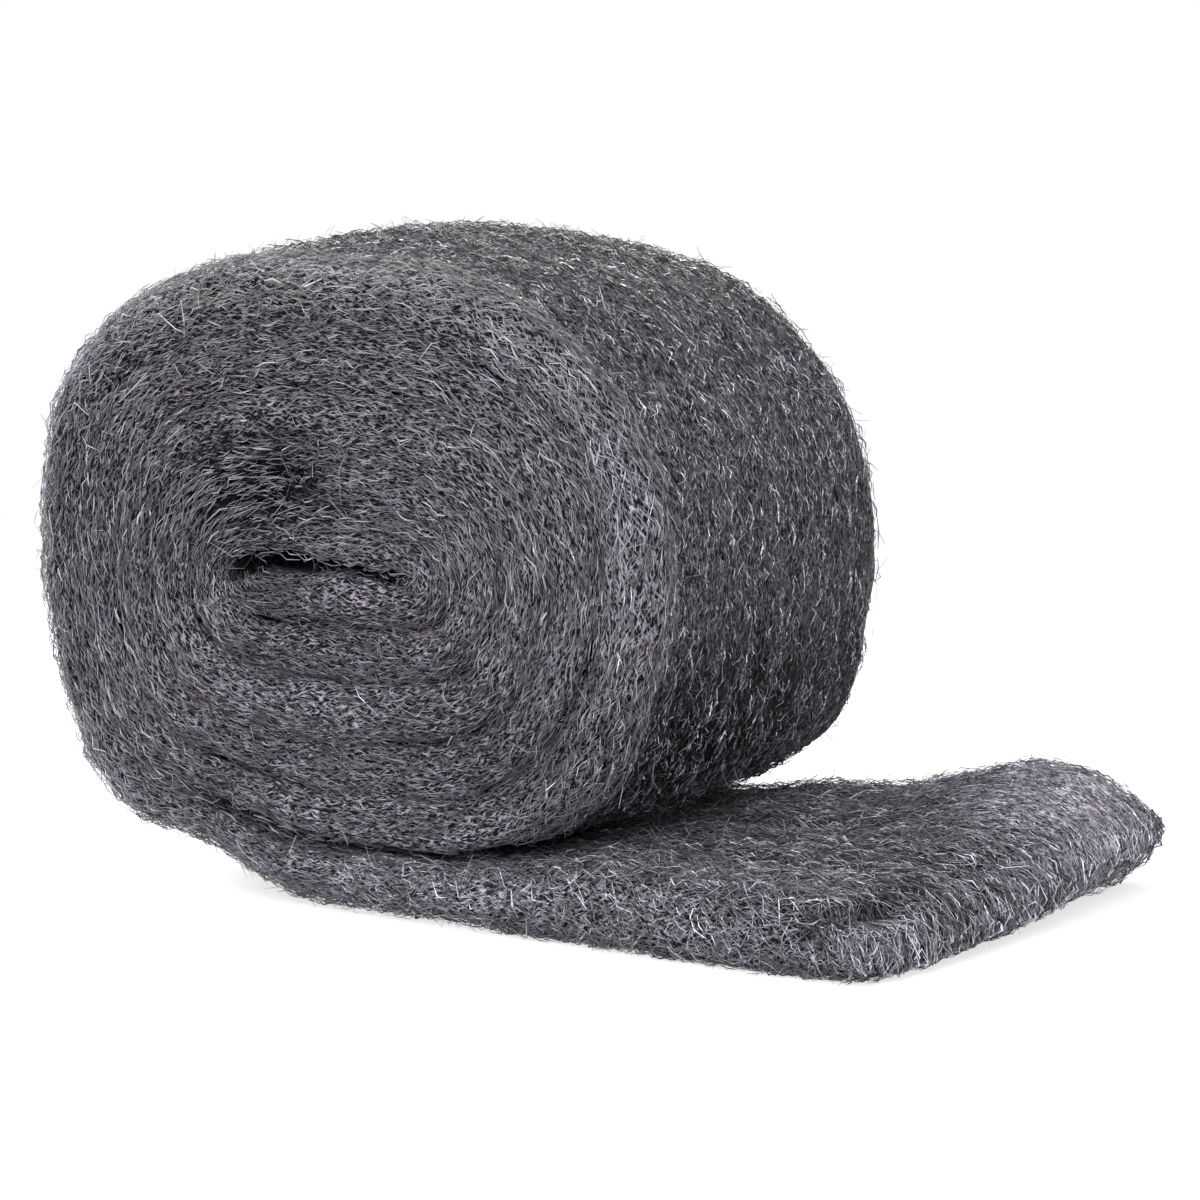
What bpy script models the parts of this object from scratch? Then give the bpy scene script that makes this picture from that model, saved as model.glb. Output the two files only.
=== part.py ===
"""A roll of steel wool: one strip of matted steel fibre, wound five times round a flattened eye.

The strip's free end leaves the roll underneath and lies out along +X on the surface that the roll
stands on. The roll's axis runs along Y. The origin is on the flat spot under the roll, where the
outermost turn runs out into the free end. Metres, +Z up.
"""

import math

import bmesh
import bpy

# Driving dimensions of the strip
STRIP_WIDTH = 0.100  # along Y
TURN_PITCH_SIDE = 0.01013  # what one turn adds to the roll's half length along X
TURN_PITCH_UP = 0.01045  # what one turn adds to the roll's half height
TURN_GAP = 0.0004  # clear space between one turn and the next
EDGE_ROUND = 0.0045  # how far the rounded long edges of the strip reach in from its sides

# Driving dimensions of the roll
TURNS = 5.4  # from the middle of the eye to the strip's middle where it reaches the floor
EYE_HALF_LENGTH = 0.014  # the eye is a slit that the first turn folds round
EYE_SHARPNESS = 2.5  # higher makes the slit's ends squarer
EYE_RECESS = 0.0030  # how far the first turn sits back from both end faces
EYE_RECESS_TURNS = 1.3  # how many turns the recess takes to fade
DRIFT_SIDE = 0.00023  # each turn's middle lies this much further along X than the one before
DRIFT_DOWN = 0.0002  # and this much lower
CROWN = 0.015  # the turns are this share wider at mid width than at the strip's edges
TOP_CROWN = 0.09  # and this much wider still over the top
FAR_RIM = 0.65  # how much of that the turns keep at the strip's far edge
FIRST_ANGLE = 200.0  # where the strip's inner tip lies, in degrees round the eye from +X
LEAVING_ANGLE = 270.0  # straight down, where the strip runs out into the free end
SETTLING_ANGLES = (-26.0, -3.0)  # the outermost turn goes flat over these degrees before it leaves

# Where the outermost turn bulges or is flattened: angle, spread, and share of its reach
BULGES = (
    (8.0, 22.0, -0.016),
    (46.0, 20.0, -0.034),
    (98.0, 18.0, 0.012),
    (142.0, 26.0, 0.085),
    (222.0, 16.0, 0.036),
    (252.0, 14.0, -0.045),
    (318.0, 24.0, 0.090),
)

# Where the strip's near edge lifts off the floor under the roll
EDGE_LIFT = 0.0020
EDGE_LIFT_AT = -0.010
EDGE_LIFT_REACH = 0.028
EDGE_LIFT_ANGLES = (-60.0, -20.0)  # it grows over these degrees before the strip leaves the roll

# The hollow between the first turns, in the face at -Y
HOLLOW_AT = (-0.020, 0.0785)
HOLLOW_REACH = (0.013, 0.0065)
HOLLOW_SLOPE = 0.45
HOLLOW_DEPTH = 0.007

# Driving dimensions of the free end
TAIL_LENGTH = 0.1185  # along X from the flat spot, at mid width
TAIL_SKEW = 0.0105  # the far corner reaches this much further, and the near one less
TAIL_SWELL = 0.0030  # how much the strip thickens once nothing presses on it
TAIL_SWELL_START = 0.016
TAIL_SWELL_END = 0.056
LOBE_HEIGHT = 0.0095  # the puffed far corner stands this much above the rest
LOBE_AT = (0.105, 0.036)
LOBE_REACH = (0.026, 0.030)
NOSE_LENGTH = 0.016  # the free end thins and rounds off over this length
NOSE_CORNER = 0.004  # how much its corners are rounded in plan
NOSE_LIFT = 0.40  # how high the tip's middle lies, as a share of what the thickness loses
NOSE_LIFT_SKEW = 0.30  # the far corner's share is this much more, and the near one's less
TIP_SHARE = 0.30  # thickness left at the very tips, as a share

# How finely it is built
STATIONS_PER_TURN = 40
STATION_CROWDING = 0.33  # the inner turns have fewer stations than the outer ones
TIP_STATIONS = 3
TAIL_STATIONS = 24
EDGE_SECTION = ((0.0, 0.21), (0.33, 0.42), (1.0, 0.5))  # shares of EDGE_ROUND and of thickness
MIDDLE_SECTION = (0.5, 0.0, -0.5)  # where else across the strip it has a point

HALF_WIDTH = STRIP_WIDTH / 2
FILL = 1.0 - TURN_GAP / TURN_PITCH_UP
AXIS_HEIGHT = (TURNS + 0.5) * (TURN_PITCH_UP * (1.0 + CROWN) + DRIFT_DOWN)
LAST_ANGLE = LEAVING_ANGLE + 360.0 * math.floor(TURNS)

WOOL_COLOUR = (0.096, 0.095, 0.105, 1.0)
WOOL_ROUGHNESS = 0.55
WOOL_METALLIC = 0.75


def smooth_step(value, low, high):
    """0 below low, 1 above high, and an S curve between them."""
    share = min(1.0, max(0.0, (value - low) / (high - low)))
    return share * share * (3.0 - 2.0 * share)


def bell(x, y, at, reach):
    """1 at the point, falling off smoothly over the reach in each direction."""
    return math.exp(-(((x - at[0]) / reach[0]) ** 2) - ((y - at[1]) / reach[1]) ** 2)


def clear_scene():
    """Removes whatever the scene starts with."""
    for old in list(bpy.data.objects):
        bpy.data.objects.remove(old, do_unlink=True)


def section():
    """The strip's section from one side to the other, as (across, half_depth) pairs.

    across runs from -1 to 1 over the width, and half_depth is 0.5 where the strip is full.
    """
    rounding = EDGE_ROUND / HALF_WIDTH
    edge = [(1.0 - rounding * inward, depth) for inward, depth in EDGE_SECTION]
    middle = [(across, 0.5) for across in MIDDLE_SECTION]
    return edge + middle + [(-across, depth) for across, depth in reversed(edge)]


def turns_at(angle):
    """How many turns the strip's middle has made at this winding angle, counted from the eye."""
    return TURNS - (LAST_ANGLE - angle) / 360.0


def bulge_at(angle):
    """What the outermost turn gains on an even oval at this angle, as a share of its reach."""
    total = 0.0
    for centre, spread, share in BULGES:
        away = (angle - centre + 180.0) % 360.0 - 180.0
        total += share * math.exp(-((away / spread) ** 2))
    return total


def crown_at(angle, across):
    """What the turns gain at mid width, as a share of their reach."""
    upward = max(0.0, math.sin(math.radians(angle)))
    profile = 1.0 - across * across + FAR_RIM * (0.5 + 0.5 * across) ** 2
    return (CROWN + TOP_CROWN * upward * upward) * profile


def contour(turns, angle, across):
    """A point of the oval that lies this many turns out from the eye, as (x, z)."""
    around = math.radians(angle)
    reach = turns * (1.0 + bulge_at(angle) * turns / TURNS + crown_at(angle, across))
    x = (
        EYE_HALF_LENGTH * math.tanh(EYE_SHARPNESS * math.cos(around))
        + TURN_PITCH_SIDE * reach * math.cos(around)
        + DRIFT_SIDE * (turns - TURNS)
    )
    z = AXIS_HEIGHT + TURN_PITCH_UP * reach * math.sin(around) - DRIFT_DOWN * turns
    return x, z


def pressed_thickness(across):
    """How thick the strip is where the roll rests on it."""
    return contour(TURNS - 0.5, LEAVING_ANGLE, across)[1] - TURN_GAP


def edge_lift(x, across, depth):
    """How much the strip's near edge is lifted here. The side that faces the roll stays down."""
    spread = math.exp(-(((x - EDGE_LIFT_AT) / EDGE_LIFT_REACH) ** 2))
    return EDGE_LIFT * max(0.0, -across) ** 3 * (0.5 + depth) * spread


def wound_point(angle, across, depth, thickness):
    """A point of the strip where it is wound, as (x, y, z)."""
    middle = turns_at(angle)
    x, z = contour(middle + depth * FILL * thickness, angle, across)
    recess = EYE_RECESS * math.exp(-middle / EYE_RECESS_TURNS)
    if across < 0.0:
        slope = HOLLOW_SLOPE * (x - HOLLOW_AT[0])
        recess += HOLLOW_DEPTH * across * across * bell(x, z - slope, HOLLOW_AT, HOLLOW_REACH)
    settled = smooth_step(angle - LAST_ANGLE, *SETTLING_ANGLES)
    z += settled * ((0.5 - depth) * pressed_thickness(across) - z)
    z += edge_lift(x, across, depth) * smooth_step(angle - LAST_ANGLE, *EDGE_LIFT_ANGLES)
    return x, across * (HALF_WIDTH - recess), z


def tail_point(along, across, depth):
    """A point of the free end, as (x, y, z). along runs from 0 at the flat spot to 1 at the tip."""
    swelled = smooth_step(along * TAIL_LENGTH, TAIL_SWELL_START, TAIL_SWELL_END)
    start_of_nose = 1.0 - NOSE_LENGTH / TAIL_LENGTH
    into_nose = max(0.0, (along - start_of_nose) / (1.0 - start_of_nose))
    rounding = math.sqrt(1.0 - (1.0 - TIP_SHARE**2) * into_nose**2)
    x = along * (TAIL_LENGTH + TAIL_SKEW * across * along) - NOSE_CORNER * into_nose * across**4
    y = across * (HALF_WIDTH - 0.5 * NOSE_CORNER * into_nose**2)
    full = pressed_thickness(across) + TAIL_SWELL * swelled
    full += LOBE_HEIGHT * bell(x, y, LOBE_AT, LOBE_REACH)
    lift = NOSE_LIFT + NOSE_LIFT_SKEW * across
    z = full * ((0.5 - depth) * rounding + lift * (1.0 - rounding))
    return x, y, z + edge_lift(x, across, depth)


def stations():
    """Functions of (across, depth) that place one section of the strip each, from eye to tip."""
    wound = round(STATIONS_PER_TURN * TURNS)
    placed = []
    for number in range(wound):
        from_tip = min(1.0, number / TIP_STATIONS)
        thickness = TIP_SHARE + (1.0 - TIP_SHARE) * math.sqrt(1.0 - (1.0 - from_tip) ** 2)
        share = number / wound
        share += STATION_CROWDING * share * (1.0 - share)
        angle = FIRST_ANGLE + share * (LAST_ANGLE - FIRST_ANGLE)
        placed.append(lambda a, d, angle=angle, t=thickness: wound_point(angle, a, d, t))
    for number in range(TAIL_STATIONS + 1):
        along = math.sin(0.5 * math.pi * number / TAIL_STATIONS)
        placed.append(lambda a, d, along=along: tail_point(along, a, d))
    return placed


def wool_material():
    """Grey matted steel fibre."""
    material = bpy.data.materials.new("steel_wool")
    material.use_nodes = True
    shader = material.node_tree.nodes["Principled BSDF"]
    shader.inputs["Base Color"].default_value = WOOL_COLOUR
    shader.inputs["Roughness"].default_value = WOOL_ROUGHNESS
    shader.inputs["Metallic"].default_value = WOOL_METALLIC
    return material


def wound_strip():
    """The whole strip: a flat slab cut into stations, each laid where the wound strip has it."""
    places = stations()
    points = section()
    lengths, cells = len(places) - 1, len(points) - 1
    bm = bmesh.new()
    bmesh.ops.create_grid(bm, x_segments=lengths, y_segments=cells, size=0.5)
    raised = bmesh.ops.extrude_face_region(bm, geom=list(bm.faces))["geom"]
    tops = [v for v in raised if isinstance(v, bmesh.types.BMVert)]
    bmesh.ops.translate(bm, verts=tops, vec=(0.0, 0.0, 1.0))
    for vertex in bm.verts:
        across, half_depth = points[round((vertex.co.y + 0.5) * cells)]
        depth = half_depth if vertex.co.z > 0.5 else -half_depth
        vertex.co = places[round((vertex.co.x + 0.5) * lengths)](across, depth)
    bmesh.ops.recalc_face_normals(bm, faces=bm.faces)
    mesh = bpy.data.meshes.new("steel_wool_roll")
    bm.to_mesh(mesh)
    bm.free()
    mesh.shade_smooth()
    mesh.materials.append(wool_material())
    return mesh


def main():
    clear_scene()
    collection = bpy.data.collections.new("steel_wool_roll")
    bpy.context.scene.collection.children.link(collection)
    collection.objects.link(bpy.data.objects.new("steel_wool_roll", wound_strip()))


main()
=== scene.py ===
"""Steel wool roll: a strip of matted steel fibre wound round a flattened eye, its free end lying out."""

import logging
import math
from dataclasses import dataclass
from enum import Enum
from typing import NamedTuple, Protocol

import bmesh
import bpy
import numpy as np
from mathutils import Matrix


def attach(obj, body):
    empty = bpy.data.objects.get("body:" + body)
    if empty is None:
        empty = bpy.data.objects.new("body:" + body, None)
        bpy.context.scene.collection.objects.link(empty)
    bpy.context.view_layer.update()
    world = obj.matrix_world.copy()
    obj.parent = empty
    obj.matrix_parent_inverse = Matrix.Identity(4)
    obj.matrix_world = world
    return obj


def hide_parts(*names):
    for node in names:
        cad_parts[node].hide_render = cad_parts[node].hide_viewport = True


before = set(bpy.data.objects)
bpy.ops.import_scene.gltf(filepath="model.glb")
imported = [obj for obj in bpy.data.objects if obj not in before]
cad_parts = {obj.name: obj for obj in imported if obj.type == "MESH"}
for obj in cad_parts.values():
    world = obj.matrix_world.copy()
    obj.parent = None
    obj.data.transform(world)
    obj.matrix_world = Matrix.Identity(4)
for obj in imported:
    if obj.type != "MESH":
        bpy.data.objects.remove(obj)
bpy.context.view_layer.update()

ROOT = "root"
NODE = "steel_wool_roll"
MM = 0.001
FULL_TURN = 360.0
TINY = 1e-12
WHITE = (1.0, 1.0, 1.0, 1.0)
Inputs = dict[str | int, float | tuple[float, ...] | bpy.types.NodeSocket]

log = logging.getLogger("steel_wool_roll")


def smooth_step(value: np.ndarray, low: float, high: float) -> np.ndarray:
    """An S curve from 0 at low to 1 at high.

    Args:
        value: where it is read.
        low: where the curve starts.
        high: where the curve ends.

    Returns:
        The curve's height at each value.
    """
    share = np.clip((value - low) / (high - low), 0.0, 1.0)
    return share * share * (3.0 - 2.0 * share)


def bell(
    x: np.ndarray, y: np.ndarray, at: tuple[float, float], reach: tuple[float, float]
) -> np.ndarray:
    """A smooth hill, 1 high, over a point.

    Args:
        x: first coordinate.
        y: second coordinate.
        at: the hill's middle.
        reach: how far it spreads in each coordinate.

    Returns:
        The hill's height at each place.
    """
    return np.exp(-(((x - at[0]) / reach[0]) ** 2) - ((y - at[1]) / reach[1]) ** 2)


def hump(angle: np.ndarray, at: float, spread: float) -> np.ndarray:
    """A smooth hump, 1 high, over one direction.

    Args:
        angle: directions in degrees.
        at: the hump's own direction.
        spread: how many degrees it spreads.

    Returns:
        The hump's height in each direction.
    """
    aside = (angle - at + FULL_TURN / 2) % FULL_TURN - FULL_TURN / 2
    return np.exp(-((aside / spread) ** 2))


def link_object(name: str, data: bpy.types.ID) -> bpy.types.Object:
    """Puts a mesh, a curve, a lamp or a camera in the scene.

    Args:
        name: the object's name.
        data: what it shows.

    Returns:
        The new object.
    """
    made = bpy.data.objects.new(name, data)
    bpy.context.scene.collection.objects.link(made)
    return made


def give_numbers(mesh: bpy.types.Mesh, name: str, numbers: np.ndarray) -> None:
    """Gives a mesh a number for each vertex, which its material reads."""
    held = mesh.attributes.new(name, "FLOAT", "POINT")
    held.data.foreach_set("value", numbers.astype(np.float32))


def new_material(name: str) -> tuple[bpy.types.Material, bpy.types.NodeTree]:
    """Starts a material.

    Args:
        name: the material's name.

    Returns:
        The material and its node tree.
    """
    made = bpy.data.materials.new(name)
    made.use_nodes = True
    return made, made.node_tree


def feed(tree: bpy.types.NodeTree, node: bpy.types.Node, inputs: Inputs) -> None:
    """Sets some inputs of a node.

    Args:
        tree: the node tree of a material or of the surroundings.
        node: one of its nodes.
        inputs: for each input a number, a colour, or the socket that is wired to it.
    """
    for name, value in inputs.items():
        if isinstance(value, bpy.types.NodeSocket):
            tree.links.new(value, node.inputs[name])
        else:
            node.inputs[name].default_value = value


def add_node(
    tree: bpy.types.NodeTree, kind: str, inputs: Inputs, **settings: str | bool
) -> bpy.types.Node:
    """Adds a node.

    Args:
        tree: the node tree.
        kind: the node's type, without the ShaderNode before it.
        inputs: for each input a number, a colour, or the socket that is wired to it.
        settings: the node's own choices, such as its operation.

    Returns:
        The new node.
    """
    node = tree.nodes.new("ShaderNode" + kind)
    for name, value in settings.items():
        setattr(node, name, value)
    feed(tree, node, inputs)
    return node


@dataclass(frozen=True)
class Unevenness:
    """Smooth ups and downs over the strip's skin, longer along the strip than across it."""

    seed: int
    along: float
    across: float
    height: float
    lattice: int = 512

    def at(self, run: np.ndarray, round_section: np.ndarray) -> np.ndarray:
        """Reads the ups and downs.

        Args:
            run: how far along the strip, in metres.
            round_section: how far round its section, in metres.

        Returns:
            How far up or down it is there, in the height's own unit.
        """
        values = np.random.default_rng(self.seed).normal(size=(self.lattice, self.lattice))
        a, b = run / self.along, round_section / self.across
        a0, b0 = np.floor(a).astype(int), np.floor(b).astype(int)
        fa, fb = smooth_step(a - a0, 0.0, 1.0), smooth_step(b - b0, 0.0, 1.0)
        a0, b0, a1, b1 = (n % self.lattice for n in (a0, b0, a0 + 1, b0 + 1))
        low = values[a0, b0] * (1 - fa) + values[a1, b0] * fa
        high = values[a0, b1] * (1 - fa) + values[a1, b1] * fa
        return self.height * (low * (1 - fb) + high * fb)


# How much lighter or darker than the rest the wool is, in streaks that run along the winding.
STREAKS = Unevenness(seed=7, along=18.0 * MM, across=1.5 * MM, height=0.32)


@dataclass(frozen=True)
class WoundStrip:
    """Where every point of the wound strip lies.

    A place on the strip is given by its progress, which is the winding angle in degrees and past
    the last one 360 for each length of the free end, by across, from -1 at the near edge to 1 at
    the far one, and by depth, from -0.5 on the side that faces the eye to 0.5 on the other.

    Lengths are in metres and angles in degrees. A bulge is a direction, its spread, and the share by
    which the roll stands out there. The near corner is one more, on the near half of the width only.
    A pair of angles or shares is where a change starts and ends.
    """

    width: float = 0.100
    pitch_side: float = 0.00966
    pitch_up: float = 0.01045
    gap: float = 0.0004
    overlap: float = 0.25
    turns: float = 5.4
    eye_half_length: float = 0.0168
    eye_sharpness: float = 2.5
    eye_recess: float = 0.0030
    eye_recess_turns: float = 1.3
    drift_side: float = 0.00073
    drift_down: float = -0.0001
    crown: float = 0.015
    top_crown: float = 0.09
    far_rim: float = 0.65
    first_angle: float = 200.0
    leaving_angle: float = 270.0
    settling: tuple[float, float] = (-26.0, -3.0)
    bulges: tuple[tuple[float, float, float], ...] = (
        (8.0, 22.0, -0.016),
        (46.0, 20.0, -0.034),
        (98.0, 18.0, 0.012),
        (142.0, 26.0, 0.085),
        (222.0, 16.0, 0.036),
        (252.0, 14.0, -0.045),
        (318.0, 24.0, 0.090),
    )
    near_corner: tuple[float, float, float] = (324.0, 27.0, -0.115)
    fill_from: tuple[float, float] = (-0.1, 0.3)
    fill_after: tuple[float, float] = (345.0, 375.0)
    lift: float = 0.0020
    lift_at: float = -0.010
    lift_reach: float = 0.028
    lift_angles: tuple[float, float] = (-60.0, -20.0)
    hollow_at: tuple[float, float] = (-0.020, 0.0785)
    hollow_reach: tuple[float, float] = (0.013, 0.0065)
    hollow_slope: float = 0.45
    hollow_depth: float = 0.007
    tail_length: float = 0.1185
    tail_skew: float = 0.0105
    tail_swell: float = 0.0030
    tail_swell_span: tuple[float, float] = (0.016, 0.056)
    lobe_height: float = 0.0095
    lobe_at: tuple[float, float] = (0.105, 0.036)
    lobe_reach: tuple[float, float] = (0.026, 0.030)
    nose_length: float = 0.016
    nose_corner: float = 0.004
    nose_lift: float = 0.40
    nose_lift_skew: float = 0.30
    tip_share: float = 0.03
    inner_rounding: float = 0.0012
    rim_rounding: float = 0.0070
    tail_rounding: float = 0.0050
    rim_turns: tuple[float, float] = (1.3, 1.0)
    tail_rounding_turns: float = 0.4
    edge_length: float = 0.0125
    side_length: float = 0.0910
    table_margin: float = 40.0
    nudge: float = 0.4 * MM

    @property
    def last_angle(self) -> float:
        """The winding angle at which the strip leaves the roll."""
        return self.leaving_angle + FULL_TURN * math.floor(self.turns)

    @property
    def end_progress(self) -> float:
        """The progress at the free end's tip."""
        return self.last_angle + FULL_TURN

    @property
    def section_length(self) -> float:
        """How long the way round the section is."""
        return 2.0 * (self.edge_length + self.side_length)

    @property
    def leave_run(self) -> float:
        """How far along the strip it leaves the roll and the free end starts."""
        return self.run_at(self.last_angle)

    @property
    def end_run(self) -> float:
        """How far along the strip the free end's tip lies."""
        return self.run_at(self.end_progress)

    @property
    def axis_height(self) -> float:
        """How high the eye lies."""
        return (self.turns + 0.5) * (self.pitch_up * (1.0 + self.crown) + self.drift_down)

    def contour(
        self, turns: np.ndarray, angle: np.ndarray, across: np.ndarray
    ) -> tuple[np.ndarray, np.ndarray]:
        """A point of the oval that lies some turns out from the eye.

        Args:
            turns: how many turns out.
            angle: the direction from the eye, in degrees.
            across: the place over the strip's width.

        Returns:
            Its x and z.
        """
        around = np.radians(angle)
        bulge = sum(share * hump(angle, at, spread) for at, spread, share in self.bulges)
        at, spread, share = self.near_corner
        bulge = bulge + share * smooth_step(-across, 0.0, 1.0) * hump(angle, at, spread)
        upward = np.maximum(0.0, np.sin(around))
        profile = 1.0 - across * across + self.far_rim * (0.5 + 0.5 * across) ** 2
        crown = (self.crown + self.top_crown * upward * upward) * profile
        reach = turns * (1.0 + bulge * turns / self.turns + crown)
        x = (
            self.eye_half_length * np.tanh(self.eye_sharpness * np.cos(around))
            + self.pitch_side * reach * np.cos(around)
            + self.drift_side * (turns - self.turns)
        )
        z = self.axis_height + self.pitch_up * reach * np.sin(around) - self.drift_down * turns
        return x, z

    def pressed(self, across: np.ndarray) -> np.ndarray:
        """How thick the strip is under the roll."""
        under = np.full_like(across, self.leaving_angle)
        return self.contour(np.full_like(across, self.turns - 0.5), under, across)[1] - self.gap

    def edge_lift(self, x: np.ndarray, across: np.ndarray, depth: np.ndarray) -> np.ndarray:
        """How much the strip's near edge is lifted off the floor.

        Args:
            x: place along X.
            across: place over the width.
            depth: place through the thickness.

        Returns:
            The lift at each place.
        """
        spread = np.exp(-(((x - self.lift_at) / self.lift_reach) ** 2))
        return self.lift * np.maximum(0.0, -across) ** 3 * (0.5 + depth) * spread

    def recess(self, turns: np.ndarray, x: np.ndarray, z: np.ndarray, across: np.ndarray) -> np.ndarray:
        """How far the edge of a turn sits back from the end face.

        Args:
            turns: how many turns out.
            x: place along X.
            z: height.
            across: place over the width.

        Returns:
            The recess at each place.
        """
        sloped = z - self.hollow_slope * (x - self.hollow_at[0])
        hollow = bell(x, sloped, self.hollow_at, self.hollow_reach)
        even = self.eye_recess * np.exp(-turns / self.eye_recess_turns)
        return even + self.hollow_depth * np.minimum(across, 0.0) ** 2 * hollow

    def fill(self, angle: np.ndarray, depth: np.ndarray) -> np.ndarray:
        """How much of its pitch a turn fills.

        The side that faces the eye reaches into the turn inside it, as wool does, so that no gap
        shows between turns. The left half of the eye stays open.

        Args:
            angle: winding angle in degrees.
            depth: place through the thickness.

        Returns:
            The share at each place.
        """
        to_left = smooth_step(-np.cos(np.radians(angle)), *self.fill_from)
        first_turn = 1.0 - smooth_step(angle - self.first_angle, *self.fill_after)
        reaching = self.overlap * (1.0 - to_left * first_turn)
        return np.where(depth < 0.0, 1.0 + reaching, 1.0) - self.gap / self.pitch_up

    def wound(self, angle: np.ndarray, across: np.ndarray, depth: np.ndarray) -> np.ndarray:
        """Points of the wound part, as rows of x, y, z.

        Args:
            angle: winding angle in degrees.
            across: place over the width.
            depth: place through the thickness.

        Returns:
            An array with one row for each point.
        """
        middle = self.turns - (self.last_angle - angle) / FULL_TURN
        x, z = self.contour(middle + depth * self.fill(angle, depth), angle, across)
        recess = self.recess(middle, x, z, across)
        settled = smooth_step(angle - self.last_angle, *self.settling)
        z = z + settled * ((0.5 - depth) * self.pressed(across) - z)
        lifted = smooth_step(angle - self.last_angle, *self.lift_angles)
        z = z + lifted * self.edge_lift(x, across, depth)
        return np.stack([x, across * (self.width / 2 - recess), z], axis=-1)

    def free_end(self, along: np.ndarray, across: np.ndarray, depth: np.ndarray) -> np.ndarray:
        """Points of the free end, as rows of x, y, z.

        Args:
            along: 0 at the flat spot and 1 at the tip.
            across: place over the width.
            depth: place through the thickness.

        Returns:
            An array with one row for each point.
        """
        swelled = smooth_step(along * self.tail_length, *self.tail_swell_span)
        start = 1.0 - self.nose_length / self.tail_length
        into_nose = np.clip((along - start) / (1.0 - start), 0.0, 1.0)
        rounding = np.sqrt(1.0 - (1.0 - self.tip_share**2) * into_nose**2)
        x = along * (self.tail_length + self.tail_skew * across * along)
        x = x - self.nose_corner * into_nose * across**4
        y = across * (self.width / 2 - 0.5 * self.nose_corner * into_nose**2)
        full = self.pressed(across) + self.tail_swell * swelled
        full = full + self.lobe_height * bell(x, y, self.lobe_at, self.lobe_reach)
        lift = self.nose_lift + self.nose_lift_skew * across
        z = full * ((0.5 - depth) * rounding + lift * (1.0 - rounding))
        return np.stack([x, y, z + self.edge_lift(x, across, depth)], axis=-1)

    def place(self, progress: np.ndarray, across: np.ndarray, depth: np.ndarray) -> np.ndarray:
        """Points anywhere on the strip, as rows of x, y, z.

        Args:
            progress: winding angle, and past the last one the share of the free end.
            across: place over the width.
            depth: place through the thickness.

        Returns:
            An array with one row for each point.
        """
        last = self.last_angle
        wound = self.wound(np.minimum(progress, last), across, depth)
        free = self.free_end(np.maximum(progress - last, 0.0) / FULL_TURN, across, depth)
        return np.where((progress > last)[..., None], free, wound)

    def run_table(self) -> tuple[np.ndarray, np.ndarray]:
        """How far along the strip each progress lies.

        Returns:
            Progress values, and the metres from the inner tip at each.
        """
        progress = np.arange(self.first_angle, self.end_progress + self.table_margin, 1.0)
        middle = self.place(progress, np.zeros_like(progress), np.zeros_like(progress))
        steps = np.linalg.norm(np.diff(middle, axis=0), axis=1)
        return progress, np.concatenate([[0.0], np.cumsum(steps)])

    def run_at(self, progress: float) -> float:
        """How far along the strip one progress lies."""
        return float(np.interp(progress, *self.run_table()))

    def section(self, progress: np.ndarray, round_section: np.ndarray) -> tuple[np.ndarray, np.ndarray]:
        """Where a place round the section lies on it.

        Args:
            progress: place along the strip.
            round_section: metres round the section from the near edge's inner corner: over the
                near edge, the outer side, the far edge and the inner side.

        Returns:
            across and depth.
        """
        edge, side = self.edge_length, self.side_length
        corners = np.array([0.0, edge, edge + side, 2 * edge + side, 2 * edge + 2 * side])
        lap = np.interp(round_section % corners[-1], corners, np.arange(5.0))
        last = self.last_angle
        rim_from, rim_to = (last - turns * FULL_TURN for turns in self.rim_turns)
        outermost = smooth_step(progress, rim_from, rim_to)
        free = smooth_step(progress, last, last + self.tail_rounding_turns * FULL_TURN)
        outer = self.inner_rounding + (self.rim_rounding - self.inner_rounding) * outermost
        outer = outer + (self.tail_rounding - self.rim_rounding) * free
        inner = self.inner_rounding + (self.tail_rounding - self.inner_rounding) * free
        half = self.width / 2
        near = lap < 1.0
        far = (lap >= 2.0) & (lap < 3.0)
        swing = np.where(near, lap - 0.5, np.where(far, 2.5 - lap, 0.0)) * math.pi
        rounding = np.where(swing > 0.0, outer, inner) / half
        at_edge = 1.0 - rounding * (1.0 - np.cos(swing))
        across = np.where(near, -at_edge, at_edge)
        depth = 0.5 * np.sin(swing)
        on_outer = (lap >= 1.0) & (lap < 2.0)
        on_inner = lap >= 3.0
        across = np.where(on_outer, (2.0 * (lap - 1.0) - 1.0) * (1.0 - outer / half), across)
        across = np.where(on_inner, (1.0 - 2.0 * (lap - 3.0)) * (1.0 - inner / half), across)
        depth = np.where(on_outer, 0.5, np.where(on_inner, -0.5, depth))
        return across, depth

    def bare_skin(self, run: np.ndarray, round_section: np.ndarray) -> np.ndarray:
        """Points of the even skin, as rows of x, y, z.

        Args:
            run: metres along the strip.
            round_section: metres round its section.

        Returns:
            An array with one row for each point.
        """
        table_progress, table_run = self.run_table()
        progress = np.interp(run, table_run, table_progress)
        across, depth = self.section(progress, round_section)
        return self.place(progress, across, depth)

    def skin(self, run: np.ndarray, round_section: np.ndarray, height: np.ndarray) -> np.ndarray:
        """Points at a height over the skin, as rows of x, y, z.

        Args:
            run: metres along the strip.
            round_section: metres round its section.
            height: metres out from the even skin.

        Returns:
            An array with one row for each point.
        """
        step = self.nudge
        here = self.bare_skin(run, round_section)
        along = self.bare_skin(run + step, round_section) - self.bare_skin(run - step, round_section)
        around = self.bare_skin(run, round_section + step) - self.bare_skin(run, round_section - step)
        normal = np.cross(around, along)
        normal /= np.maximum(np.linalg.norm(normal, axis=-1, keepdims=True), TINY)
        return here + normal * height[..., None]


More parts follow.
